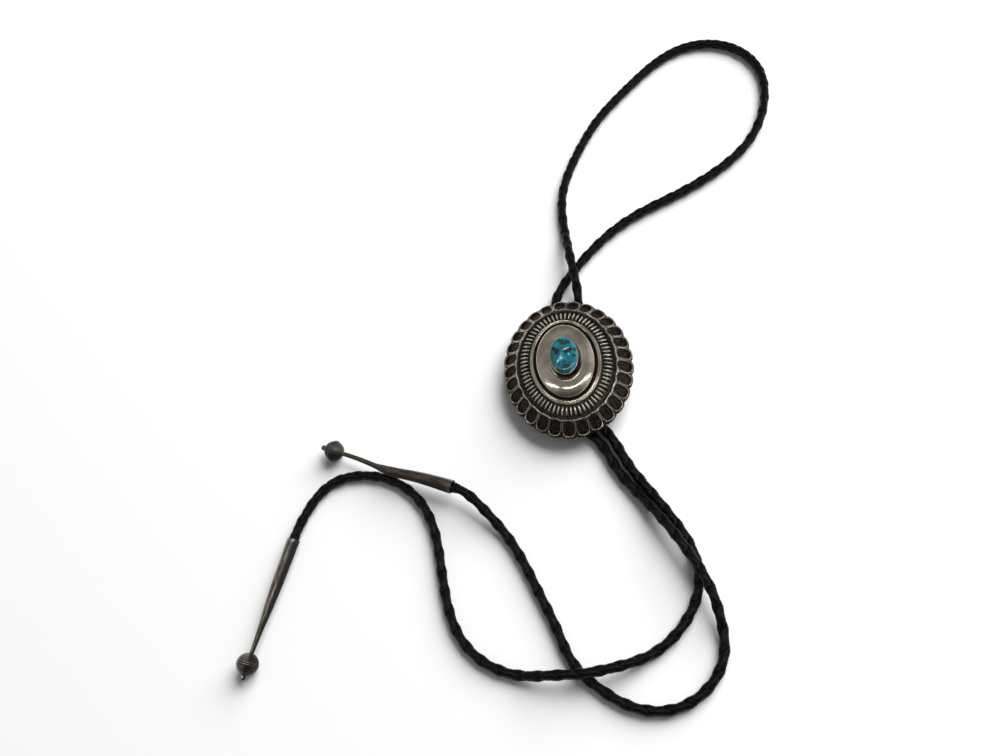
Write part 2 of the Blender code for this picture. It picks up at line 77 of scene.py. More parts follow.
# Cord: one black leather cord, 4 mm across, braided round from four laces. It comes out of the
# clasp's two channels at both ends, so it is made as the neck loop and two tails, which meet
# inside the clasp, and it climbs over itself in three long low humps.

CORD_DIAMETER = 4.0 * MM
CORD_REST = 2.16 * MM
CLEARANCE = 0.3 * MM
CHANNEL_X, CHANNEL_Z, CLASP_END, CORD_STRAIGHT = 3.9 * MM, 2.8 * MM, 11.0 * MM, 1.5 * MM
TAIL_TO_TIP_B = [
    (12.3, -30.2), (17.5, -43.1), (23.9, -55.3), (30.5, -67.5), (35.6, -80.3), (35.6, -94.1),
    (28.7, -106.1), (17.9, -114.7), (4.7, -119.0), (-9.0, -120.3), (-22.7, -119.4), (-36.3, -116.8),
    (-48.3, -110.1), (-56.4, -98.9), (-59.7, -85.5), (-60.8, -71.6), (-62.2, -57.8), (-67.0, -44.8),
    (-76.5, -34.9), (-89.3, -29.8), (-102.9, -30.7), (-113.4, -39.7),
]
NECK_LOOP = [
    (8.4, 32.8), (8.3, 46.5), (7.6, 60.4), (7.3, 74.4), (9.2, 88.3), (14.7, 101.3), (22.0, 113.3),
    (30.5, 124.4), (40.7, 134.1), (51.6, 143.0), (63.1, 151.0), (76.3, 155.7), (90.2, 154.0),
    (101.3, 145.7), (106.7, 132.9), (105.7, 119.0), (100.6, 105.9), (92.2, 94.7), (80.9, 86.3),
    (68.4, 80.0), (55.2, 75.1), (41.9, 70.6), (29.3, 64.5), (17.9, 56.2), (8.0, 46.9), (-0.4, 36.0),
]
TAIL_TO_TIP_A = [
    (7.8, -32.5), (13.1, -45.2), (20.2, -57.0), (27.1, -68.8), (33.3, -81.0), (38.4, -93.6),
    (40.8, -107.1), (39.4, -120.6), (31.1, -131.2), (18.5, -136.1), (5.2, -133.8), (-5.9, -126.0),
    (-14.5, -115.7), (-18.9, -102.7), (-23.3, -89.8), (-27.9, -76.9), (-33.5, -64.5), (-41.1, -53.1),
]
# Each hump: place, half of its flat top, slope up and slope down, in mm
NECK_HUMP = (8.3, 46.7, 4.5, 12.0, 20.0)
TAIL_A_HUMP = (36.2, -87.5, 10.0, 35.0, 20.0)
TAIL_B_HUMP = (-10.8, -120.4, 8.0, 20.0, 20.0)
CLASP_SLOPE, TIP_A_SLOPE, TIP_B_SLOPE = 10.0 * MM, 30.0 * MM, 12.0 * MM
# Tips: length from the ball's centre to the mouth, the mouth's place, the ball's way from there
TIP_A_LENGTH, TIP_A_MOUTH, TIP_A_HEADING = 54.8 * MM, Vector((-52.5, -42.5, 7.0)) * MM, (-0.891, 0.454)
TIP_B_LENGTH, TIP_B_MOUTH, TIP_B_HEADING = 50.6 * MM, Vector((-120.2, -52.4, 3.0)) * MM, (-0.378, -0.926)
BALL_REST = 4.47 * MM
SOCKET_DEPTH = 9.0 * MM


def curve_through(points, start_way, end_way, per_span=24):
    """A smooth plane curve through the points that leaves and arrives along the given ways."""
    points = np.array(points, float)
    chord = np.linalg.norm(np.diff(points, axis=0), axis=1)
    count = len(points)
    system, target = np.zeros((count, count)), np.zeros((count, 2))
    system[0, 0] = system[-1, -1] = 1.0
    target[0], target[-1] = start_way, end_way
    for i in range(1, count - 1):
        before, after = chord[i - 1], chord[i]
        system[i, i - 1:i + 2] = 1 / before, 2 / before + 2 / after, 1 / after
        target[i] = 3 * (points[i + 1] - points[i]) / after ** 2
        target[i] += 3 * (points[i] - points[i - 1]) / before ** 2
    slopes = np.linalg.solve(system, target)
    u = np.linspace(0.0, 1.0, per_span, endpoint=False)[:, None]
    spans = []
    for i in range(count - 1):
        span = (2 * u ** 3 - 3 * u ** 2 + 1) * points[i] + (3 * u ** 2 - 2 * u ** 3) * points[i + 1]
        span += (u ** 3 - 2 * u ** 2 + u) * chord[i] * slopes[i]
        span += (u ** 3 - u ** 2) * chord[i] * slopes[i + 1]
        spans.append(span)
    return np.vstack([*spans, points[-1:]])


def lengths_along(points):
    return np.concatenate([[0.0], np.cumsum(np.linalg.norm(np.diff(points, axis=0), axis=1))])


def smoothstep(x):
    x = np.clip(x, 0.0, 1.0)
    return x * x * (3.0 - 2.0 * x)


def laid(route, start, end, start_way, end_way, start_slope, end_slope, hump):
    """The cord's line over the table: on it, but for its two ends and its hump."""
    points = [start[:2]] + [np.array(p) * MM for p in route] + [end[:2]]
    plan = curve_through(points, start_way, end_way)
    along = lengths_along(plan)
    z = CORD_REST + (start[2] - CORD_REST) * smoothstep(1.0 - along / start_slope)
    z += (end[2] - CORD_REST) * smoothstep(1.0 - (along[-1] - along) / end_slope)
    x, y, flat, slope_up, slope_down = (v * MM for v in hump)
    top = along[np.argmin(np.hypot(plan[:, 0] - x, plan[:, 1] - y))]
    slope = np.where(along < top, slope_up, slope_down)
    z += (CORD_DIAMETER + 2 * CLEARANCE) * smoothstep(1.0 - (np.abs(along - top) - flat) / slope)
    return np.column_stack([plan, z])


def even(points, step):
    along = lengths_along(points)
    marks = np.linspace(0.0, along[-1], max(2, round(along[-1] / step)))
    return np.column_stack([np.interp(marks, along, points[:, k]) for k in range(3)])


def tip_axis(length, mouth, heading):
    """The ball's centre, resting on the table, and the way from it to the mouth."""
    drop = BALL_REST - mouth.z
    flat = Vector((*heading, 0.0)).normalized()
    centre = mouth + math.sqrt(length ** 2 - drop ** 2) * flat + Vector((0, 0, drop))
    return centre, (mouth - centre).normalized()


ball_a, axis_a = tip_axis(TIP_A_LENGTH, TIP_A_MOUTH, TIP_A_HEADING)
ball_b, axis_b = tip_axis(TIP_B_LENGTH, TIP_B_MOUTH, TIP_B_HEADING)
lead_a = np.array(TIP_A_MOUTH + CORD_STRAIGHT * axis_a)
lead_b = np.array(TIP_B_MOUTH + CORD_STRAIGHT * axis_b)
end_a = np.array(TIP_A_MOUTH - (SOCKET_DEPTH - CLEARANCE) * axis_a)
end_b = np.array(TIP_B_MOUTH - (SOCKET_DEPTH - CLEARANCE) * axis_b)
flat_a, flat_b = np.array(axis_a.xy.normalized()), np.array(axis_b.xy.normalized())
NORTH, SOUTH = np.array([0.0, 1.0]), np.array([0.0, -1.0])


def channel(side, y):
    return np.array([side * CHANNEL_X, y, CHANNEL_Z])


reach = CLASP_END + CORD_STRAIGHT
tail_b = laid(
    list(reversed(TAIL_TO_TIP_B)), lead_b, channel(1, -reach), flat_b, NORTH,
    TIP_B_SLOPE, CLASP_SLOPE, TAIL_B_HUMP,
)
neck_loop = laid(
    NECK_LOOP, channel(1, reach), channel(-1, reach), NORTH, SOUTH,
    CLASP_SLOPE, CLASP_SLOPE, NECK_HUMP,
)
tail_a = laid(
    TAIL_TO_TIP_A, channel(-1, -reach), lead_a, SOUTH, -flat_a,
    CLASP_SLOPE, TIP_A_SLOPE, TAIL_A_HUMP,
)
LINE_STEP = 0.8 * MM
neck_line = even(np.vstack([channel(1, 0.0), neck_loop, channel(-1, 0.0)]), LINE_STEP)
tail_a_line = even(np.vstack([channel(-1, 0.0), tail_a, end_a]), LINE_STEP)
tail_b_line = even(np.vstack([channel(1, 0.0), tail_b[::-1], end_b]), LINE_STEP)


class Reading:
    """A number that varies over a surface or along a curve. Arithmetic on it adds Math nodes."""

    def __init__(self, tree, socket):
        self.tree = tree
        self.socket = socket

    def maths(self, operation, *values):
        return self.tree.number("ShaderNodeMath", {"operation": operation}, list(values))

    def __add__(self, other):
        return self.maths("ADD", self, other)

    def __sub__(self, other):
        return self.maths("SUBTRACT", self, other)

    def __rsub__(self, other):
        return self.maths("SUBTRACT", other, self)

    def __mul__(self, other):
        return self.maths("MULTIPLY", self, other)

    def __truediv__(self, other):
        return self.maths("DIVIDE", self, other)

    def __pow__(self, other):
        return self.maths("POWER", self, other)

    __radd__ = __add__
    __rmul__ = __mul__

    def cosine(self):
        return self.maths("COSINE", self)

    def sine(self):
        return self.maths("SINE", self)

    def size(self):
        return self.maths("ABSOLUTE", self)

    def rise(self, low, high):
        """0 below low, 1 above high, and smooth between."""
        settings = {"interpolation_type": "SMOOTHSTEP"}
        values = {"Value": self, "From Min": low, "From Max": high}
        return self.tree.number("ShaderNodeMapRange", settings, values)


class Tree:
    """A node tree. One method makes every node: settings first, then its sockets' values or links."""

    def __init__(self, tree):
        self.tree = tree

    def node(self, kind, settings=None, values=()):
        made = self.tree.nodes.new(kind)
        for name, value in (settings or {}).items():
            setattr(made, name, value)
        pairs = values.items() if isinstance(values, dict) else enumerate(values)
        for key, value in pairs:
            self.feed(made.inputs[key], value)
        return made

    def feed(self, socket, value):
        if isinstance(value, Reading):
            value = value.socket
        if isinstance(value, bpy.types.NodeSocket):
            self.tree.links.new(value, socket)
        else:
            socket.default_value = value

    def number(self, kind, settings=None, values=(), output=0):
        return Reading(self, self.node(kind, settings, values).outputs[output])

    def vector(self, operation, *values):
        places = (0, 3) if operation == "SCALE" else (0, 1)
        values = dict(zip(places, values))
        return self.node("ShaderNodeVectorMath", {"operation": operation}, values).outputs[0]

    def joined(self, x, y, z):
        return self.node("ShaderNodeCombineXYZ", None, [x, y, z]).outputs[0]

    def parts(self, vector):
        return [Reading(self, part) for part in self.node("ShaderNodeSeparateXYZ", None, [vector]).outputs]


class Finish(Tree):
    """A material, with helpers for the patterns that leather, silver and stone show."""

    def __init__(self, name):
        self.material = bpy.data.materials.new(name)
        self.material.use_nodes = True
        super().__init__(self.material.node_tree)
        self.shader = self.tree.nodes["Principled BSDF"]
        self.place = self.node("ShaderNodeTexCoord").outputs["Object"]

    def surface(self, **values):
        for name, value in values.items():
            self.feed(self.shader.inputs[name.replace("_", " ").title().replace("Ior", "IOR")], value)
        return self.material

    def streaks(self, stretch, turn=0.0):
        """Places for a streaky pattern."""
        values = {"Vector": self.place, "Rotation": (0, 0, turn), "Scale": stretch}
        return self.node("ShaderNodeMapping", {"vector_type": "POINT"}, values).outputs[0]

    def noise(self, scale, detail=3.0, place=None, distortion=0.0):
        place = place or self.place
        values = {"Vector": place, "Scale": scale, "Detail": detail, "Distortion": distortion}
        return self.number("ShaderNodeTexNoise", None, values)

    def attribute(self, name):
        return self.number("ShaderNodeAttribute", {"attribute_name": name}, output=2)

    def blend(self, share, low, high):
        """A mix of two colours. A plain colour is red, green and blue."""
        low, high = ((*c, 1.0) if isinstance(c, tuple) else c for c in (low, high))
        values = {0: share, 6: low, 7: high}
        return self.node("ShaderNodeMix", {"data_type": "RGBA"}, values).outputs[2]

    def relief(self, height, depth):
        values = {"Height": height, "Distance": depth, "Strength": 1.0}
        return self.node("ShaderNodeBump", None, values).outputs[0]


def add_piece(name, mesh, material):
    """A finished piece: it rides on the tie's one body and takes its finish from a slot."""
    made = placed(name, mesh)
    if material:
        mesh.materials.clear()
        mesh.materials.append(material)
    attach(made, "root")
    return made


def grown(name, points, edges, tree, sizes):
    """The plain mesh that a Geometry Nodes tree grows from a line of points."""
    line = bpy.data.meshes.new(name + " line")
    line.from_pydata([tuple(p) for p in points], edges, [])
    carrier = placed(name + " line", line)
    grower = carrier.modifiers.new(name, "NODES")
    grower.node_group = tree
    for socket in tree.interface.items_tree:
        if socket.name in sizes:
            grower[socket.identifier] = sizes[socket.name]
    graph = bpy.context.evaluated_depsgraph_get()
    mesh = bpy.data.meshes.new_from_object(carrier.evaluated_get(graph), depsgraph=graph)
    bpy.data.objects.remove(carrier, do_unlink=True)
    mesh.name = name
    return mesh


def new_geometry_tree(name, inputs):
    group = bpy.data.node_groups.new(name, "GeometryNodeTree")
    new_socket = group.interface.new_socket
    new_socket(name="Geometry", in_out="INPUT", socket_type="NodeSocketGeometry")
    for label, value in inputs.items():
        kind = "NodeSocketInt" if isinstance(value, int) else "NodeSocketFloat"
        new_socket(name=label, in_out="INPUT", socket_type=kind).default_value = value
    new_socket(name="Geometry", in_out="OUTPUT", socket_type="NodeSocketGeometry")
    tree = Tree(group)
    given = tree.node("NodeGroupInput")
    readings = {label: Reading(tree, given.outputs[label]) for label in inputs}
    return tree, given.outputs["Geometry"], readings


def close_tree(tree, geometry, material):
    real = tree.node("GeometryNodeRealizeInstances", None, {"Geometry": geometry})
    values = {"Geometry": real.outputs[0], "Material": material}
    painted = tree.node("GeometryNodeSetMaterial", None, values)
    tree.node("NodeGroupOutput", None, {"Geometry": painted.outputs[0]})
    return tree.tree


leather = Finish("black leather")
grain = leather.noise(1900.0, 4.0)
creases = leather.noise(520.0, 3.0, distortion=0.6)
rubbed = leather.noise(120.0, 2.0).rise(0.45, 0.75)
BLACK_LEATHER, RUBBED_LEATHER = (0.0005, 0.0005, 0.0009), (0.002, 0.0021, 0.0034)
leather.surface(
    base_color=leather.blend(rubbed * 0.6 + grain * 0.3, BLACK_LEATHER, RUBBED_LEATHER),
    roughness=0.28 + 0.16 * creases,
    specular_ior_level=0.13,
    normal=leather.relief(grain + 0.8 * creases, 0.10 * MM),
)

# Braid: the laces' mean radius and how far they ride over one another, the length of one turn,
# the section of a lace with the bend across it, the core's radius and the step along the line
BRAID_SIZES = {
    "Radius": 1.33 * MM, "Ride": 0.37 * MM, "Pitch": 15.4 * MM, "Width": 3.45 * MM,
    "Thickness": 0.92 * MM, "Bend": 0.54 * MM, "Core": 1.2 * MM, "Step": 0.5 * MM,
}


def braid_tree():
    """Four laces wound round a core, two each way, that pass over and under one another."""
    tree, line, size = new_geometry_tree("four lace round braid", BRAID_SIZES)
    curve = tree.node("GeometryNodeMeshToCurve", None, {"Mesh": line})
    values = {"Curve": curve.outputs[0], "Length": size["Step"]}
    curve = tree.node("GeometryNodeResampleCurve", {"mode": "LENGTH"}, values).outputs[0]
    along = tree.number("GeometryNodeSplineParameter", output=1)
    normal = tree.node("GeometryNodeInputNormal").outputs[0]
    tangent = tree.node("GeometryNodeInputTangent").outputs[0]
    aside = tree.vector("CROSS_PRODUCT", tangent, normal)
    turn = along * (2 * math.pi) / size["Pitch"]
    section = tree.node("GeometryNodeCurvePrimitiveCircle", None, {"Resolution": 10, "Radius": 1.0})
    shape = tree.joined(size["Thickness"] / 2, size["Width"] / 2, 1.0)
    values = {"Geometry": section.outputs[0], "Scale": shape}
    section = tree.node("GeometryNodeTransform", None, values).outputs[0]
    sideways = tree.parts(tree.node("GeometryNodeInputPosition").outputs[0])[1] / (size["Width"] / 2)
    droop = tree.joined(size["Bend"] * sideways * sideways * -1.0, 0.0, 0.0)
    values = {"Geometry": section, "Offset": droop}
    section = tree.node("GeometryNodeSetPosition", None, values).outputs[0]
    laces = []
    for hand, start in ((1, 0.0), (1, math.pi), (-1, 0.0), (-1, math.pi)):
        angle = turn * hand + start
        radius = size["Radius"] + size["Ride"] * hand * (turn * 2).cosine()
        outward = tree.vector("SCALE", normal, angle.cosine())
        outward = tree.vector("ADD", outward, tree.vector("SCALE", aside, angle.sine()))
        values = {"Geometry": curve, "Name": "outward", "Value": outward}
        marked = tree.node("GeometryNodeStoreNamedAttribute", {"data_type": "FLOAT_VECTOR"}, values)
        values = {"Geometry": marked.outputs[0], "Offset": tree.vector("SCALE", outward, radius)}
        lace = tree.node("GeometryNodeSetPosition", None, values).outputs[0]
        settings = {"data_type": "FLOAT_VECTOR"}
        kept = tree.node("GeometryNodeInputNamedAttribute", settings, {"Name": "outward"}).outputs[0]
        square = tree.vector("CROSS_PRODUCT", tree.vector("CROSS_PRODUCT", tangent, kept), tangent)
        values = {"Curve": lace, "Normal": tree.vector("NORMALIZE", square)}
        lace = tree.node("GeometryNodeSetCurveNormal", {"mode": "FREE"}, values).outputs[0]
        values = {"Curve": lace, "Profile Curve": section, "Fill Caps": True}
        laces.append(tree.node("GeometryNodeCurveToMesh", None, values).outputs[0])
    ring = tree.node("GeometryNodeCurvePrimitiveCircle", None, {"Resolution": 8, "Radius": size["Core"]})
    values = {"Curve": curve, "Profile Curve": ring.outputs[0], "Fill Caps": True}
    laces.append(tree.node("GeometryNodeCurveToMesh", None, values).outputs[0])
    joined = tree.node("GeometryNodeJoinGeometry")
    for lace in laces:
        tree.feed(joined.inputs[0], lace)
    return close_tree(tree, joined.outputs[0], leather.material)


def make_cord(name, line, tree):
    edges = [(k, k + 1) for k in range(len(line) - 1)]
    mesh = grown(name, line, edges, tree, BRAID_SIZES)
    mesh.shade_smooth()
    piece = add_piece(name, mesh, None)
    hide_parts("cord")
    return piece


braid = braid_tree()
neck_cord = make_cord("neck_loop_cord", neck_line, braid)
tail_a_cord = make_cord("tail_a_cord", tail_a_line, braid)
tail_b_cord = make_cord("tail_b_cord", tail_b_line, braid)


# Concho: a domed oval of sheet silver, stamped and chased in one piece with its border of 29
# scalloped cells, its ridge and its rings, then blackened in the hollows and rubbed bright on
# what stands proud. Painted shade darkens its lower side. The shell is a stack of rings, out
# under the dome and back over its face.

OVAL_ACROSS, OVAL_ALONG = 52.9 * MM / 2, 61.3 * MM / 2
BORDER_WIDTH = 5.9 * MM
LOBES, LOBE_PHASE, SCALLOP_DEPTH, CELL_DEPTH = 29, 0.08, 1.1 * MM, 0.62 * MM
POINTS_ROUND = LOBES * 27
CELL_MARGIN, CELL_ROUND, CELL_CORNER, CELL_END = 0.46 * MM, 2.38 * MM, 0.8 * MM, 5.85 * MM
HATCH_SPACING = 0.75 * MM
# On the right, the ridge and all that it encloses stand this much further in
OFF_CENTRE = 0.4 * MM
# A cell's wall, the lip along its edge, how far the border falls away between two cells, and the
# crest of the ridge at the cells' inner end
CELL_WALL, LIP_PLACE, LIP_WIDTH, LIP_HEIGHT = 0.36 * MM, 0.2 * MM, 0.15 * MM, 0.2 * MM
GAP_FALL, CREST_INSET, CREST_WIDTH, CREST_HEIGHT = 0.45 * MM, 5.95 * MM, 0.24 * MM, 0.32 * MM
DOME_INSET = 14.4 * MM
# The section's rings lie close together, but not in the band that the ribs cover
RING_STEP, RIB_BAND_STEP, RIB_BAND = 0.18 * MM, 0.55 * MM, (7.3 * MM, 11.4 * MM)
PAD_LENGTH, PAD_WIDTH, PAD_TOP_Z = 19.3 * MM, 14.0 * MM, 17.7 * MM
# The pad is let into the dome by this share of its height, most of all on the right
PAD_SUNK = 0.85
BEZEL_LENGTH, BEZEL_WIDTH = 17.3 * MM, 12.0 * MM
# The hollow under the dome: its ceiling, and then distance in and height in mm, out to the rim
CEILING_Z = 15.9 * MM
UNDERSIDE = [(14.4, 12.2), (11.75, 12.1), (5.9, 9.65), (1.8, 6.5), (1.8, 5.4)]
# How much of a scallop's depth each distance in has, in mm: the ridge waves the other way
SCALLOP_SHARES = {0.9: 1.0, 2.5: 0.55, 5.1: -0.15, 5.9: -0.42, 7.0: -0.25, 7.6: 0.0}
# The section from the rim in to the dome, in mm: distance in from the oval, and height
SECTION = [
    (0.3, 5.4), (0.02, 6.2), (-0.2, 6.9), (-0.26, 7.25), (-0.16, 7.52), (0.1, 7.7), (0.42, 7.78),
    (0.85, 7.88), (1.3, 8.2), (2.5, 9.1), (4.0, 10.2), (5.13, 11.1), (5.6, 11.42), (5.9, 11.5),
    (6.2, 11.38), (6.6, 11.15), (7.1, 11.3), (8.0, 11.75), (9.5, 12.4), (11.0, 13.08), (11.5, 13.2),
    (11.68, 13.55), (11.88, 14.12), (12.12, 14.38), (12.38, 14.36), (12.52, 14.27), (12.66, 14.36),
    (12.95, 14.44), (13.2, 14.3), (13.34, 13.95), (13.46, 13.65), (13.66, 13.52), (13.9, 13.56),
    (14.1, 13.8), (14.28, 14.3), (14.42, 14.75),
]
# Darkness by the distance in: the ridge is bare, then the rib band, the two rings and the groove
BAND_SHADES = {
    5.5: 0.35, 5.72: 0.0, 6.12: 0.0, 6.3: 0.5, 6.55: 0.75, 7.2: 0.9, 11.45: 0.95, 11.68: 0.5,
    11.84: 0.0, 12.4: 0.0, 12.52: 0.5, 12.64: 0.0, 13.22: 0.05, 13.36: 0.6, 13.5: 0.9, 14.05: 0.9,
    14.22: 0.5, 14.36: 0.0,
}
# Dome: share of the way to the bezel's pad, and height in mm
DOME = [
    (0.02, 14.98), (0.05, 15.2), (0.09, 15.42), (0.14, 15.63), (0.20, 15.84), (0.28, 16.07),
    (0.36, 16.28), (0.44, 16.46), (0.50, 16.57), (0.56, 16.645), (0.64, 16.72), (0.74, 16.80),
    (0.84, 16.87), (0.93, 16.93), (0.99, 16.97),
]

oval_turns = np.linspace(0.0, 2.0 * math.pi, 2881)


def inside_oval(angle, inset):
    """The point of the outer oval at an angle, moved straight inwards."""
    normal_x, normal_y = np.sin(angle) / OVAL_ACROSS, np.cos(angle) / OVAL_ALONG
    size = np.hypot(normal_x, normal_y)
    x = OVAL_ACROSS * np.sin(angle) - inset * normal_x / size
    x = x - OFF_CENTRE * smoothstep((inset - 4.5 * MM) / (1.5 * MM)) * (0.5 + 0.5 * np.sin(angle)) ** 2
    return x, OVAL_ALONG * np.cos(angle) - inset * normal_y / size


border_lengths = lengths_along(np.column_stack(inside_oval(oval_turns, BORDER_WIDTH / 2)))
BORDER_LENGTH = border_lengths[-1]
oval_shares = border_lengths / BORDER_LENGTH


def angle_at(share):
    return np.interp(share, oval_shares, oval_turns)


round_shares = np.arange(POINTS_ROUND) / POINTS_ROUND
round_angles = angle_at(round_shares)
lobe_turn = round_shares * LOBES - LOBE_PHASE
lobe_place = 2.0 * (lobe_turn - np.round(lobe_turn))
fall_back = 1.0 - np.sqrt(1.0 - 0.96 * lobe_place ** 2)
# No two cells are struck alike: each leans a little and ends in its own blunt point
lobe_number = np.round(lobe_turn)
cell_lean = 0.035 * np.sin(2.4 * lobe_number + 1.0)
cell_end = CELL_END + 0.12 * MM * np.sin(1.7 * lobe_number)
cell_end = cell_end - (0.85 + 0.3 * np.sin(3.1 * lobe_number)) * MM * np.abs(lobe_place) ** 1.3


def bulge(distance, width):
    return np.exp(-(distance / width) ** 2)


def towards(degrees, sharpness=1.0):
    """1 on the side of the concho at this angle, clockwise from the neck loop, and 0 opposite."""
    return (0.5 + 0.5 * np.cos(round_angles - math.radians(degrees))) ** sharpness


def cell_distance(inset):
    """How far each point of a ring lies outside its cell's edge; inside the cell it is negative."""
    half_pitch = (BORDER_LENGTH + 2 * math.pi * (BORDER_WIDTH / 2 - inset)) / LOBES / 2
    aside = np.abs(lobe_place - cell_lean) * half_pitch
    over_x = aside - (half_pitch - CELL_MARGIN - CELL_CORNER)
    over_y = inset - (cell_end - CELL_CORNER)
    distance = np.hypot(np.maximum(over_x, 0), np.maximum(over_y, 0))
    distance += np.minimum(np.maximum(over_x, over_y), 0) - CELL_CORNER
    from_middle = CELL_MARGIN + CELL_ROUND - inset
    if from_middle > 0:
        blunt = 4.2 - 1.0 * towards(185)
        reach = (aside / CELL_ROUND) ** blunt + (from_middle / CELL_ROUND) ** blunt
        distance = np.maximum(distance, CELL_ROUND * (reach ** (1.0 / blunt) - 1.0))
    return distance, lobe_place * half_pitch


def border_ring(inset, z):
    """One ring of the section: scallops, sunk cells with their lips, and how dark each place is."""
    scallop = np.interp(inset / MM, list(SCALLOP_SHARES), list(SCALLOP_SHARES.values()))
    x, y = inside_oval(round_angles, inset + scallop * SCALLOP_DEPTH * fall_back)
    outside, across = cell_distance(inset)
    sunk = smoothstep(-outside / CELL_WALL)
    lip = bulge(outside - LIP_PLACE, LIP_WIDTH) * (1.0 - smoothstep((inset - 4.5 * MM) / MM))
    gap = smoothstep((outside - 0.40 * MM) / (0.3 * MM)) * (0.4 + 0.55 * towards(190, 1.5))
    gap = gap * (1.0 - smoothstep((inset - 0.8 * MM) / (1.9 * MM)))
    crest = bulge(inset - CREST_INSET, CREST_WIDTH)
    falls = GAP_FALL * gap * smoothstep((z - 6.0 * MM) / (1.2 * MM))
    height = z - CELL_DEPTH * sunk + LIP_HEIGHT * lip - falls + CREST_HEIGHT * crest
    dark = np.maximum(smoothstep((0.05 * MM - outside) / (0.22 * MM)), 0.9 * gap)
    # The plain border outside the cells is blackened grey, and painted shade makes it darker on the lower
    # side
    plain = (0.58 + 0.14 * towards(190, 2.0)) * float(inset < 5.5 * MM) * (1.0 - 0.8 * lip)
    return x, y, height, np.maximum(dark, plain), across


def band_darkness(inset, z):
    """How black the section is at a place: the side wall, the rib band, the grooves."""
    places, shades = list(BAND_SHADES), list(BAND_SHADES.values())
    band = float(np.interp(inset / MM, places, shades, left=0.0))
    return max(band, float(0.8 * smoothstep((7.35 * MM - z) / (0.4 * MM))))


def oval_ring(length, width, z):
    return width / 2 * np.sin(round_angles), length / 2 * np.cos(round_angles), np.full(POINTS_ROUND, z)


def steady_ring(inset, z):
    return (*inside_oval(round_angles, inset), np.full(POINTS_ROUND, z))


def skin(name, rings, first_centre, last_centre, readings=()):
    """A closed mesh through a stack of rings of one count: x, y, z, and then the named readings."""
    count = len(rings[0][0])
    places = np.concatenate([np.column_stack(ring[:3]) for ring in rings])
    places = np.vstack([places, [first_centre], [last_centre]])
    here = np.arange(count)
    ahead = (here + 1) % count
    faces = []
    for k in range(len(rings) - 1):
        low, high = k * count, (k + 1) * count
        faces.append(np.column_stack([low + here, low + ahead, high + ahead, high + here]))
    quads = np.concatenate(faces).tolist()
    first, last = len(places) - 2, len(places) - 1
    top = (len(rings) - 1) * count
    fans = [(first, int(b), int(a)) for a, b in zip(here, ahead)]
    fans += [(last, int(top + a), int(top + b)) for a, b in zip(here, ahead)]
    mesh = bpy.data.meshes.new(name)
    mesh.from_pydata(places.tolist(), [], quads + fans)
    for place, label in enumerate(readings, 3):
        reading = mesh.attributes.new(label, "FLOAT", "POINT")
        ends = [[rings[0][place][0]], [rings[-1][place][0]]]
        values = np.concatenate([ring[place] for ring in rings] + ends)
        reading.data.foreach_set("value", values.astype(np.float32))
    tidy = bmesh.new()
    tidy.from_mesh(mesh)
    bmesh.ops.recalc_face_normals(tidy, faces=tidy.faces)
    tidy.to_mesh(mesh)
    tidy.free()
    mesh.shade_smooth()
    return mesh


def plain_ring(ring, dark):
    """A ring without cells, with one darkness or one for each point."""
    return (*ring, np.zeros(POINTS_ROUND) + dark, np.zeros(POINTS_ROUND))


def concho_rings():
    rings = [plain_ring(oval_ring(BEZEL_LENGTH, BEZEL_WIDTH, CEILING_Z), 0.9)]
    rings += [plain_ring(steady_ring(inset * MM, z * MM), 0.9) for inset, z in UNDERSIDE]
    section = curve_through(np.array(SECTION) * MM, (-0.2, 1.0), (0.3, 1.0), 12)
    along = lengths_along(section)
    at = 0.0
    while at < along[-1]:
        inset, z = np.interp(at, along, section[:, 0]), np.interp(at, along, section[:, 1])
        x, y, height, dark, across = border_ring(inset, z)
        rings.append((x, y, height, np.maximum(dark, band_darkness(inset, z)), across))
        at += RIB_BAND_STEP if RIB_BAND[0] < inset < RIB_BAND[1] else RING_STEP
    edge_x, edge_y, _ = steady_ring(DOME_INSET, 0.0)
    for way, z in DOME:
        x, y, height = oval_ring(PAD_LENGTH, PAD_WIDTH, z * MM)
        # Near the pad's foot the dome is blackened a little all round, and painted shade makes it much
        # darker on the lower left
        dark = smoothstep((way - 0.94) / 0.06) * (0.15 + 0.75 * towards(225, 3.0))
        rings.append(plain_ring((edge_x + way * (x - edge_x), edge_y + way * (y - edge_y), height), dark))
    # The pad's foot is a little blackened all round; painted shade makes it darker on the lower left and
    # paints a dark crescent along the lower side of its top, beside the bezel
    foot_painted_shade = 0.2 + 0.7 * towards(225, 3.0)
    painted_crescent_shade = 0.95 * smoothstep(1.7 * towards(165, 3.0) - 0.3)
    # The bezel's pad, foot to top: how much smaller than the pad, how far under its top, darkness
    for shrink, drop, dark in (
        (0.0, 0.64, foot_painted_shade), (0.1, 0.2, 0.3 * painted_crescent_shade), (0.4, 0.0, 0.8 * painted_crescent_shade),
        (1.3, 0.0, np.maximum(painted_crescent_shade, 0.25)), (1.7, 0.0, np.maximum(painted_crescent_shade, 0.8)), (3.0, 0.0, 0.9),
    ):
        z = PAD_TOP_Z - drop * MM
        x, y, height = oval_ring(PAD_LENGTH - shrink * MM, PAD_WIDTH - shrink * MM, z)
        sunk = PAD_SUNK * towards(75, 1.5) * (z - DOME[-1][1] * MM)
        rings.append(plain_ring((x, y, height - sunk), dark))
    return rings


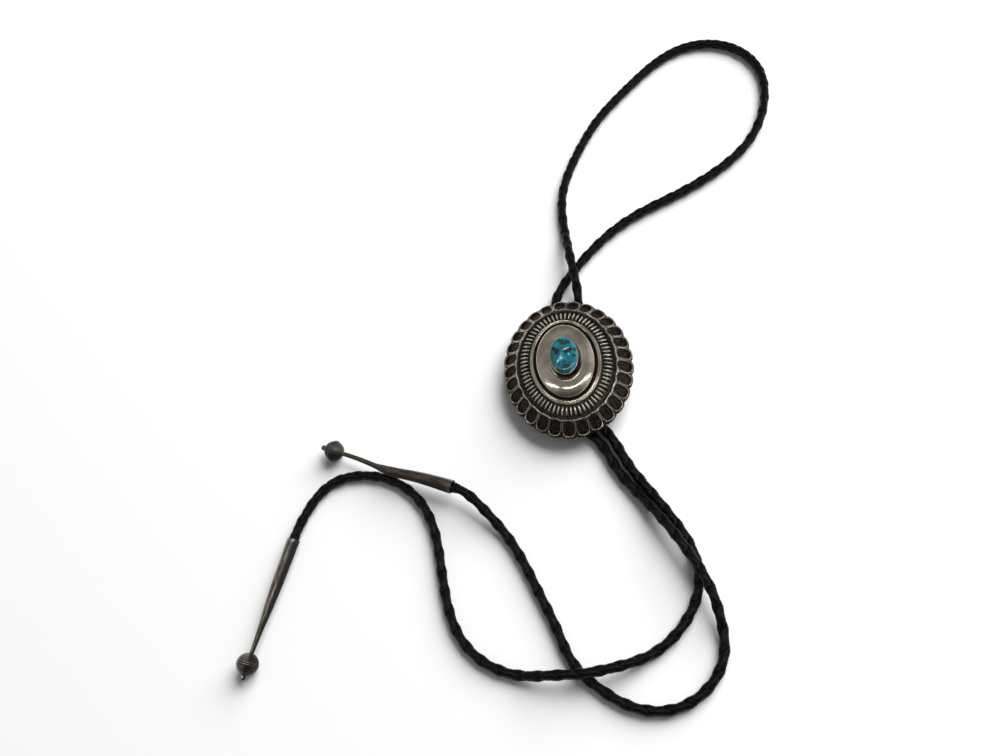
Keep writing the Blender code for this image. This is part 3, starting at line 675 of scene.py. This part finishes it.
silver = Finish("blackened silver")
oxide_and_painted_shade = silver.attribute("oxide_and_painted_shade")
across = silver.attribute("across")
cloud = silver.noise(160.0, 4.0)
mottle = silver.noise(900.0, 4.0)
speck = silver.noise(2600.0, 3.0)
scratched = silver.noise(700.0, 2.0, place=silver.streaks((0.12, 3.0, 1.0), 0.5))
scratches = scratched.rise(0.62, 0.72)
# black takes the blackening of the hollows and the painted shade on the lower side
black = (oxide_and_painted_shade + 0.3 * (mottle - 0.5)).rise(0.2, 0.75)
hatching = (across * (2 * math.pi / HATCH_SPACING) + 5.0 * mottle).sine()
scored = hatching.rise(0.0, 1.0) * mottle.rise(0.3, 0.7)
worn = silver.blend(cloud.rise(0.3, 0.7), (0.32, 0.282, 0.222), (0.53, 0.485, 0.40))
hollow = silver.blend(scored, (0.012, 0.0108, 0.009), (0.10, 0.092, 0.078))
silver.surface(
    base_color=silver.blend(black, worn, hollow),
    metallic=1.0,
    roughness=0.08 + 0.04 * cloud + 0.05 * mottle + 0.4 * black,
    normal=silver.relief(0.2 * speck + mottle * 0.5 - 0.3 * scratches + 0.9 * hatching * black, 0.016 * MM),
)
first, last = (0, 0, CEILING_Z), (0, 0, PAD_TOP_Z)
mesh = skin("concho_shell", concho_rings(), first, last, ("oxide_and_painted_shade", "across"))
shell = add_piece("concho_shell", mesh, silver.material)
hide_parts("concho")


# Ribs: 70 bars raised between the ridge and the ring, plump in the middle and drawn to a soft
# point at both ends, as a chasing tool leaves them. They are grown along the band's middle line.

RIB_SIZES = {
    "Count": 70, "Width": 0.98 * MM, "Length": 4.15 * MM, "Height": 0.95 * MM,
    "Slope": math.radians(24.5),
}
RIB_LINE_INSET, RIB_LINE_Z, RIB_LINE_POINTS = 9.38 * MM, 12.32 * MM, 720


def rib_tree():
    tree, line, size = new_geometry_tree("ribs along an oval", RIB_SIZES)
    curve = tree.node("GeometryNodeMeshToCurve", None, {"Mesh": line})
    values = {"Curve": curve.outputs[0], "Count": size["Count"]}
    places = tree.node("GeometryNodeResampleCurve", {"mode": "COUNT"}, values).outputs[0]
    tangent = tree.node("GeometryNodeInputTangent").outputs[0]
    outward = tree.vector("CROSS_PRODUCT", tangent, (0.0, 0.0, 1.0))
    spot = tree.node("GeometryNodeInputPosition").outputs[0]
    side = tree.number("ShaderNodeVectorMath", {"operation": "DOT_PRODUCT"}, {0: outward, 1: spot}, 1)
    outward = tree.vector("SCALE", outward, side.maths("SIGN", side))
    upward = tree.joined(0.0, 0.0, size["Slope"].cosine())
    lean = tree.vector("ADD", tree.vector("SCALE", outward, size["Slope"].sine()), upward)
    facing = tree.node(
        "FunctionNodeAxesToRotation", {"primary_axis": "Z", "secondary_axis": "X"}, [lean, tangent]
    )
    ball = tree.node("GeometryNodeMeshUVSphere", None, {"Segments": 14, "Rings": 12, "Radius": 1.0})
    x, y, z = tree.parts(tree.node("GeometryNodeInputPosition").outputs[0])
    long_way = y.maths("SIGN", y) * y.size() ** 0.82
    narrow = x * (1.0 - 0.4 * y.size() ** 1.5)
    shaped = tree.joined(narrow * size["Width"] / 2, long_way * size["Length"] / 2, z * size["Height"])
    values = {"Geometry": ball.outputs[0], "Position": shaped}
    rib = tree.node("GeometryNodeSetPosition", None, values).outputs[0]
    values = {"Points": places, "Instance": rib, "Rotation": facing.outputs[0]}
    ribs = tree.node("GeometryNodeInstanceOnPoints", None, values)
    return close_tree(tree, ribs.outputs[0], rib_silver.material)


rib_silver = Finish("rubbed rib silver")
smudge = rib_silver.noise(420.0, 4.0)
grit = rib_silver.noise(2600.0, 3.0)
rib_silver.surface(
    base_color=rib_silver.blend(smudge.rise(0.25, 0.75), (0.46, 0.41, 0.35), (0.86, 0.81, 0.74)),
    metallic=1.0,
    roughness=0.20 + 0.14 * smudge,
    normal=rib_silver.relief(grit, 0.03 * MM),
)
first_rib = angle_at(0.5 / RIB_SIZES["Count"])
around = np.linspace(0.0, 2.0 * math.pi, RIB_LINE_POINTS, endpoint=False) + first_rib
band = np.column_stack([*inside_oval(around, RIB_LINE_INSET), np.full(RIB_LINE_POINTS, RIB_LINE_Z)])
edges = [(k, (k + 1) % RIB_LINE_POINTS) for k in range(RIB_LINE_POINTS)]
mesh = grown("concho_ribs", band, edges, rib_tree(), RIB_SIZES)
mesh.shade_smooth()
ribs = add_piece("concho_ribs", mesh, None)
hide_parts("concho")


# Bezel: a thin wall of silver strip, soldered to its pad a little off centre and burnished in
# over the stone's edge, so its top is bright; below it the wall is blackened, and painted shade
# makes it black on the lower side.

SETTING_X, SETTING_Y = -0.2 * MM, 0.2 * MM
# The wall's section in mm, up its outside and down its inside: spread, and height
BEZEL_SECTION = [
    (0.0, 17.62), (-0.03, 18.2), (-0.12, 18.7), (-0.24, 19.1), (-0.34, 19.36), (-0.42, 19.46),
    (-0.52, 19.48), (-0.6, 19.4), (-0.62, 19.0), (-0.55, 17.66),
]


def make_bezel():
    rings = []
    for spread, z in BEZEL_SECTION:
        grow = 2 * spread * MM
        wave = 1.0 + 0.004 * np.sin(round_angles * 9 + z) + 0.003 * np.sin(round_angles * 23 + 2 * z)
        x, y, height = oval_ring(BEZEL_LENGTH + grow, BEZEL_WIDTH + grow, z * MM)
        # Below its bright top the wall is blackened, and painted shade makes it darker on the lower side
        dark = 0.1 if z > 19.2 else 0.25 + 0.7 * towards(165, 2.0)
        rings.append(plain_ring((x * wave + SETTING_X, y * wave + SETTING_Y, height), dark))
    first, last = ((SETTING_X, SETTING_Y, BEZEL_SECTION[k][1] * MM) for k in (0, -1))
    return skin("bezel", rings, first, last, ("oxide_and_painted_shade", "across"))


bezel = add_piece("bezel", make_bezel(), silver.material)
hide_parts("concho")


# Stone: an oval turquoise cabochon, polished by hand so its face is a little uneven, green-blue
# with a dark matrix at its two ends and a navy patch.

STONE_LENGTH, STONE_WIDTH, STONE_FOOT_Z, STONE_GIRDLE_Z = 16.0 * MM, 11.0 * MM, 18.0 * MM, 19.3 * MM
STONE_RISE, LUMP_HEIGHT = 1.6 * MM, 0.08 * MM
STONE_POINTS, STONE_RINGS = 180, 52
# Small steps in the polish, which glint: each runs through these places, in mm
POLISH_STEPS = [
    [(-3.7, -3.8), (-2.3, -2.1), (-1.4, -0.8), (-0.6, 0.9)],
    [(-1.9, -1.9), (-0.7, -1.5)],
    [(0.1, 1.95), (1.5, 2.35), (2.8, 2.4), (3.6, 1.8), (3.65, 0.95), (2.9, 0.2)],
    [(1.7, -0.35), (2.0, -0.25)],
]
STEP_WIDTH, STEP_SLOPE, STEP_RUN = 0.52 * MM, 0.295, 1.6 * MM
RELIEF_CELL = 0.08 * MM


def crown_height(out):
    return STONE_RISE * (1.0 - np.clip(out, 0.0, 1.0) ** 9.0) ** 0.5


def away_from(x, y, run):
    """Plan distance from each point to a line through the places of one step."""
    best = np.full(np.shape(x), np.inf)
    for (x0, y0), (x1, y1) in zip(run[:-1], run[1:]):
        way_x, way_y = (x1 - x0) * MM, (y1 - y0) * MM
        share = ((x - x0 * MM) * way_x + (y - y0 * MM) * way_y) / (way_x ** 2 + way_y ** 2)
        share = np.clip(share, 0.0, 1.0)
        best = np.minimum(best, np.hypot(x - x0 * MM - share * way_x, y - y0 * MM - share * way_y))
    return best


def stone_relief():
    """Heights on a grid: the face climbs at one slope within each step and eases off behind it."""
    half_x, half_y = STONE_WIDTH / 2 + 0.5 * MM, STONE_LENGTH / 2 + 0.5 * MM
    x, y = np.arange(-half_x, half_x, RELIEF_CELL), np.arange(-half_y, half_y, RELIEF_CELL)
    x, y = np.meshgrid(x, y, indexing="ij")
    crown = crown_height(np.hypot(x / (STONE_WIDTH / 2), y / (STONE_LENGTH / 2)))
    in_step = np.max([bulge(away_from(x, y, run), STEP_WIDTH) ** 2 for run in POLISH_STEPS], axis=0)
    climb = STEP_SLOPE - np.gradient(crown, RELIEF_CELL, axis=1)
    climb = climb * np.clip(2.2 * in_step, 0.0, 1.0)
    relief = np.zeros(x.shape)
    for k in range(1, x.shape[1]):
        eased = relief[:, k - 1] * (1.0 - RELIEF_CELL / STEP_RUN * (1.0 - in_step[:, k]))
        relief[:, k] = eased + RELIEF_CELL * climb[:, k]
    return x[:, 0], y[0], relief


def make_stone():
    angles = 2 * math.pi * np.arange(STONE_POINTS) / STONE_POINTS
    x, y = STONE_WIDTH / 2 * np.sin(angles), STONE_LENGTH / 2 * np.cos(angles)
    rings = [
        (x + SETTING_X, y + SETTING_Y, np.full(STONE_POINTS, z))
        for z in (STONE_FOOT_Z, STONE_GIRDLE_Z - 0.3 * MM)
    ]
    grid_x, grid_y, relief = stone_relief()
    for k in range(1, STONE_RINGS):
        out = math.cos(math.pi / 2 * k / STONE_RINGS) ** 0.9
        spot_x, spot_y = x * out + SETTING_X, y * out + SETTING_Y
        column, row = (spot_x - grid_x[0]) / RELIEF_CELL, (spot_y - grid_y[0]) / RELIEF_CELL
        i, j = column.astype(int), row.astype(int)
        u, v = column - i, row - j
        step = (1 - u) * ((1 - v) * relief[i, j] + v * relief[i, j + 1])
        step += u * ((1 - v) * relief[i + 1, j] + v * relief[i + 1, j + 1])
        lumps = np.array([noise.noise(Vector((a, b, 0.003)) * 330.0) for a, b in zip(spot_x, spot_y)])
        uneven = (step + LUMP_HEIGHT * lumps) * (1.0 - out ** 4)
        rings.append((spot_x, spot_y, STONE_GIRDLE_Z + crown_height(out) + uneven))
    top = rings[-1][2].mean()
    first, last = (SETTING_X, SETTING_Y, STONE_FOOT_Z), (SETTING_X, SETTING_Y, float(top))
    return skin("turquoise_stone_face", rings, first, last)


turquoise = Finish("turquoise")
veins = turquoise.noise(430.0, 5.0, distortion=1.4)
clouds = turquoise.noise(260.0, 3.0)
depth = turquoise.noise(900.0, 4.0)
blue = turquoise.blend(clouds.rise(0.35, 0.65), (0.0, 0.085, 0.125), (0.001, 0.15, 0.185))
blue = turquoise.blend(depth.rise(0.5, 0.8) * 0.5, blue, (0.01, 0.19, 0.2))

# Spots of colour on the stone's face: share of the colour, the colour itself, and each spot in
# mm by its place across and along and its reach each way
SPOTS = {
    "green": (1.0, (0.004, 0.10, 0.082), [
        (-0.7, 2.8, 1.5, 1.6), (-4.6, 0.0, 1.0, 1.8), (-1.8, 6.2, 2.2, 1.2),
    ]),
    "blue": (0.7, (0.0, 0.085, 0.17), [(2.8, -3.2, 2.0, 2.6), (2.6, 5.4, 1.4, 1.6)]),
    "inky": (1.0, (0.001, 0.01, 0.018), [
        (1.4, 0.95, 1.8, 0.7), (2.7, 1.6, 1.0, 0.5), (4.5, 1.5, 0.6, 1.2), (3.9, -1.4, 0.7, 0.6),
        (-0.4, -3.3, 1.0, 0.35),
    ]),
    "navy": (1.0, (0.001, 0.008, 0.026), [(-4.0, 3.2, 1.5, 1.0), (-2.8, 1.7, 1.1, 1.8)]),
    "matrix": (0.85, (0.006, 0.013, 0.01), [
        (0.8, 4.9, 2.1, 1.3), (-0.3, 6.1, 1.3, 0.8), (0.1, -5.4, 1.9, 1.3),
    ]),
}


def spotted(spots):
    """1 within any of the spots and 0 outside them. Their edges are soft, and ragged with noise."""
    clear = 1.0
    for x, y, reach_x, reach_y in spots:
        moved = turquoise.vector("SUBTRACT", turquoise.place, (x * MM, y * MM, 20.0 * MM))
        shape = turquoise.vector("MULTIPLY", moved, (1 / (reach_x * MM), 1 / (reach_y * MM), 0.0))
        away = turquoise.number("ShaderNodeVectorMath", {"operation": "LENGTH"}, {0: shape}, 1)
        clear = clear * (away + 1.5 * (veins - 0.5) + 1.3 * (depth - 0.5)).rise(0.75, 1.1)
    return 1.0 - clear


stone_colour = blue
for share, colour, spots in SPOTS.values():
    stone_colour = turquoise.blend(spotted(spots) * share, stone_colour, colour)
stone_colour = turquoise.blend(veins.rise(0.58, 0.64) * 0.65, stone_colour, (0.002, 0.03, 0.036))
turquoise.surface(
    base_color=stone_colour,
    roughness=0.10 + 0.06 * veins,
    specular_ior_level=0.4,
    coat_weight=0.35,
    coat_roughness=0.06,
    normal=turquoise.relief(veins + 0.4 * depth, 0.02 * MM),
)
stone = add_piece("turquoise_cabochon", make_stone(), turquoise.material)
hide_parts("turquoise_stone")


# Slide clasp: a plain satin block with two cord channels under a back plate let into the rim.
# The solid from the model is kept, with the brushed finish of silver that is never seen worn.

clasp_silver = Finish("plain satin silver")
brushed = clasp_silver.noise(1500.0, 4.0, place=clasp_silver.streaks((0.06, 1.0, 1.0)))
# Patches of tarnish
darkening = clasp_silver.noise(180.0, 3.0)
clasp_silver.surface(
    base_color=clasp_silver.blend(darkening.rise(0.3, 0.75), (0.42, 0.40, 0.37), (0.26, 0.235, 0.205)),
    metallic=1.0,
    roughness=0.32 + 0.16 * brushed,
    normal=clasp_silver.relief(brushed, 0.02 * MM),
)
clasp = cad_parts["slide_clasp"]
for holder in clasp.material_slots:
    holder.material = clasp_silver.material


# Cone tips: sheet silver rolled to a cone, its seam soldered, with a banded ball and a bead at
# the foot. Both are dark with age, and painted shade blackens one side of each; the folds of
# the rolling leave long flats down the cone.

TURNED_SIDES = 72
BEAD_RADIUS, SOCKET_RADIUS, SOLDER_SEAM = 1.15 * MM, 2.3 * MM, 0.14 * MM
# Where a bowed tip bends most, and how far that reaches, as shares of its length
BOW_PLACE, BOW_REACH = 0.47, 0.2
# Radius of the cone against the share of the way from the ball's centre, in mm
CONE_A = [
    (0.075, 0.9), (0.2, 0.95), (0.33, 1.05), (0.38, 1.15), (0.42, 1.6), (0.5, 2.0), (0.75, 2.4),
    (0.93, 2.75), (1.0, 2.85),
]
CONE_B = [
    (0.08, 0.88), (0.16, 0.95), (0.28, 1.2), (0.46, 1.85), (0.65, 2.25), (0.85, 2.45), (0.95, 2.5),
    (1.0, 2.6),
]
# The ball's equator, two thin wires: place along the axis in mm, rise over the ball, darkness
EQUATOR = [
    (-0.85, -0.04, 0.9), (-0.56, 0.06, 0.5), (-0.38, 0.26, 0.0), (-0.2, 0.1, 0.6), (0.0, -0.08, 1.0),
    (0.2, 0.1, 0.6), (0.38, 0.26, 0.0), (0.56, 0.06, 0.5), (0.85, -0.04, 0.9),
]


def arc(centre, radius, degrees):
    """Points of a ball by their angle from its foot: distance along the axis, and radius."""
    angles = np.radians(degrees)
    return list(zip(centre - radius * np.cos(angles), radius * np.sin(angles)))


def tip_profile(length, cone, ball):
    """From the bead to the mouth and back down the socket: distance, radius, darkness, flatness."""
    bead_centre = -(ball + 0.75 * BEAD_RADIUS)
    collar = math.degrees(math.asin(0.55 * BEAD_RADIUS / ball))
    neck = 180 - math.degrees(math.asin(0.92 * MM / ball))
    rows = [(d, r, 0.35, 0.0) for d, r in arc(bead_centre, BEAD_RADIUS, range(6, 125, 17))]
    rows += [(d, r, 0.66, 0.0) for d, r in arc(0, ball, [a for a in range(8, 80, 6) if a > collar])]
    rows += [(place * MM, ball + rise * MM, dark, 0.0) for place, rise, dark in EQUATOR]
    rows += [(d, r, 0.58, 0.0) for d, r in arc(0, ball, [a for a in range(102, 180, 6) if a < neck])]
    ways, radii = zip(*cone)
    for way in np.concatenate([np.linspace(ways[0], 0.97, 44), [0.98, 0.99, 0.997, 1.0]]):
        flat = 0.25 + 0.75 * float(smoothstep((way - 0.15) / 0.6))
        dark = 0.5 - 0.4 * float(way > 0.975)
        rows.append((way * length, float(np.interp(way, ways, radii)) * MM, dark, flat))
    rows += [(length, SOCKET_RADIUS + 0.1 * MM, 0.2, 0.4), (length - 0.15 * MM, SOCKET_RADIUS, 0.9, 0.0)]
    return rows + [(length - SOCKET_DEPTH, SOCKET_RADIUS, 1.0, 0.0)]


def make_tip(name, profile, centre, axis, flats, flatness, spin, painted_shade_side, bow=(0, 0, 0)):
    """A tip with rolled flats, bowed in its thin part by bow in mm, and blacker on one side by painted
    shade.
    """
    facing = np.array(axis.to_track_quat("Z", "Y").to_matrix())
    length = profile[-3][0]
    turns = 2 * math.pi * np.arange(TURNED_SIDES) / TURNED_SIDES
    wedge = (turns % (2 * math.pi / flats)) - math.pi / flats
    polygon = math.cos(math.pi / flats) / np.cos(wedge)
    seam = bulge(np.minimum(turns, 2 * math.pi - turns), 0.10)
    outward = np.column_stack([np.sin(turns + spin), np.cos(turns + spin), np.zeros(TURNED_SIDES)])
    outward = outward @ facing.T
    # Painted shade: the tip is blackened on the side that faces the given way
    darkening = 0.75 * smoothstep(outward @ np.array(painted_shade_side))
    rings, along = [], []
    for distance, radius, dark, flat in profile:
        share = flat * flatness
        r = radius * (1.0 - share + share * polygon * 1.04) - SOLDER_SEAM * seam * (flat > 0.2)
        bowed = bulge(distance / length - BOW_PLACE, BOW_REACH) * MM
        middle = np.array(centre + axis * float(distance)) + bowed * np.array(bow)
        points = middle + r[:, None] * outward
        darkness = np.clip(dark + 0.35 * seam * (flat > 0.2) + darkening, 0, 1)
        rings.append((points[:, 0], points[:, 1], points[:, 2], darkness))
        along.append(distance)
    first, last = (centre + axis * float(row[0]) for row in (profile[0], profile[-1]))
    mesh = skin(name, rings, tuple(first), tuple(last), ("oxide_and_painted_shade",))
    around = np.append(np.tile(turns, len(along)), [0.0, 0.0])
    reach = np.repeat(along + [0.0], [TURNED_SIDES] * len(along) + [2])
    for label, values in (("along", reach), ("around", around)):
        mesh.attributes.new(label, "FLOAT", "POINT").data.foreach_set("value", values.astype(np.float32))
    return mesh


def tip_silver(name, low, high):
    """Dark silver with long streaks down the cone, lighter where hands have rubbed it."""
    finish = Finish(name)
    oxide_and_painted_shade, along, around = (finish.attribute(label) for label in ("oxide_and_painted_shade", "along", "around"))
    place = finish.joined(around.cosine(), around.sine(), along * 60.0)
    streak = finish.noise(2.6, 4.0, place=place)
    patches = finish.noise(340.0, 4.0)
    grit = finish.noise(2400.0, 3.0)
    # black takes the tip's blackening, its seam and the painted shade on one side
    black = (oxide_and_painted_shade + 0.5 * (patches - 0.5)).rise(0.3, 1.0)
    metal = finish.blend((0.65 * streak + 0.35 * patches).rise(0.36, 0.66), low, high)
    finish.surface(
        base_color=finish.blend(black, metal, (0.012, 0.010, 0.009)),
        metallic=1.0 - 0.4 * black,
        roughness=0.26 + 0.2 * patches + 0.15 * black,
        normal=finish.relief(grit + patches, 0.03 * MM),
    )
    return finish.material


BALL_A, BALL_B = 4.12 * MM, 4.3 * MM
mesh = make_tip(
    "cone_tip_a", tip_profile(TIP_A_LENGTH, CONE_A, BALL_A), ball_a, axis_a,
    flats=6, flatness=0.8, spin=0.6, painted_shade_side=(0.2, -0.75, 0.1), bow=(-0.54, -1.07, 0.0),
)
brown_silver = tip_silver("dark silver, brown", (0.05, 0.042, 0.036), (0.18, 0.152, 0.128))
tip_a = add_piece("cone_tip_a", mesh, brown_silver)
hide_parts("tip_a")
mesh = make_tip(
    "cone_tip_b", tip_profile(TIP_B_LENGTH, CONE_B, BALL_B), ball_b, axis_b,
    flats=7, flatness=0.55, spin=0.2, painted_shade_side=(0.8, -0.5, 0.1),
)
grey_silver = tip_silver("dark silver, grey", (0.07, 0.065, 0.058), (0.40, 0.36, 0.31))
tip_b = add_piece("cone_tip_b", mesh, grey_silver)
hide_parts("tip_b")


# Stage: a plain white table in a pale room. One large soft light from the upper right throws the
# shadows, and two thin tubes in a row overhead give the dome and the stone their glints.

HALF_TABLE = 3.0
floor_mesh = bpy.data.meshes.new("table")
corners = [(x * HALF_TABLE, y * HALF_TABLE, 0) for x, y in ((-1, -1), (1, -1), (1, 1), (-1, 1))]
floor_mesh.from_pydata(corners, [], [(0, 1, 2, 3)])
table = placed("table", floor_mesh)
paper = Finish("white paper")
floor_mesh.materials.append(paper.surface(base_color=(0.9, 0.9, 0.9, 1.0), roughness=0.9))

ROOM_SEEN, ROOM_FILL = 0.9, 0.17
world = bpy.data.worlds.new("studio")
bpy.context.scene.world = world
world.use_nodes = True
room = Tree(world.node_tree)
way_x, way_y = room.parts(room.node("ShaderNodeTexCoord").outputs["Generated"])[:2]
ray = room.node("ShaderNodeLightPath").outputs
# What the silver mirrors: an even room that is darker in front and behind, and lighter on the right
mirrored = 0.42 - 0.27 * (way_y * -1.0).rise(0.1, 0.65) + 0.3 * way_x.rise(0.45, 0.85)
mirrored = mirrored - 0.12 * way_y.rise(0.6, 0.95)
light = Reading(room, ray["Is Camera Ray"]) * ROOM_SEEN + Reading(room, ray["Is Diffuse Ray"]) * ROOM_FILL
light = light + Reading(room, ray["Is Glossy Ray"]) * mirrored
background = room.tree.nodes["Background"].inputs
room.feed(background["Strength"], light)
room.feed(background["Color"], (1.0, 1.0, 1.0, 1.0))


def softbox(name, place, size, watts, lights_gloss):
    """A lamp: a soft one that is turned to the tie, or one that faces down and that metal mirrors."""
    lamp = bpy.data.lights.new(name, "AREA")
    lamp.shape = "RECTANGLE"
    lamp.size, lamp.size_y = size
    lamp.energy = watts
    made = placed(name, lamp)
    made.location = place
    made.rotation_mode = "QUATERNION"
    if not lights_gloss:
        made.rotation_quaternion = (-Vector(place)).to_track_quat("-Z", "Y")
    made.visible_glossy = lights_gloss
    made.visible_diffuse = not lights_gloss


# Each light: its place and its size in metres, its watts, and whether the silver mirrors it
softbox("key light", (1.6, 1.5, 1.7), (2.6, 2.6), 165.0, False)
softbox("tube, right", (0.83, -0.088, 1.0), (2.16, 0.07), 7.4, True)
softbox("tube, left", (-1.21, -0.088, 1.0), (1.58, 0.07), 3.0, True)
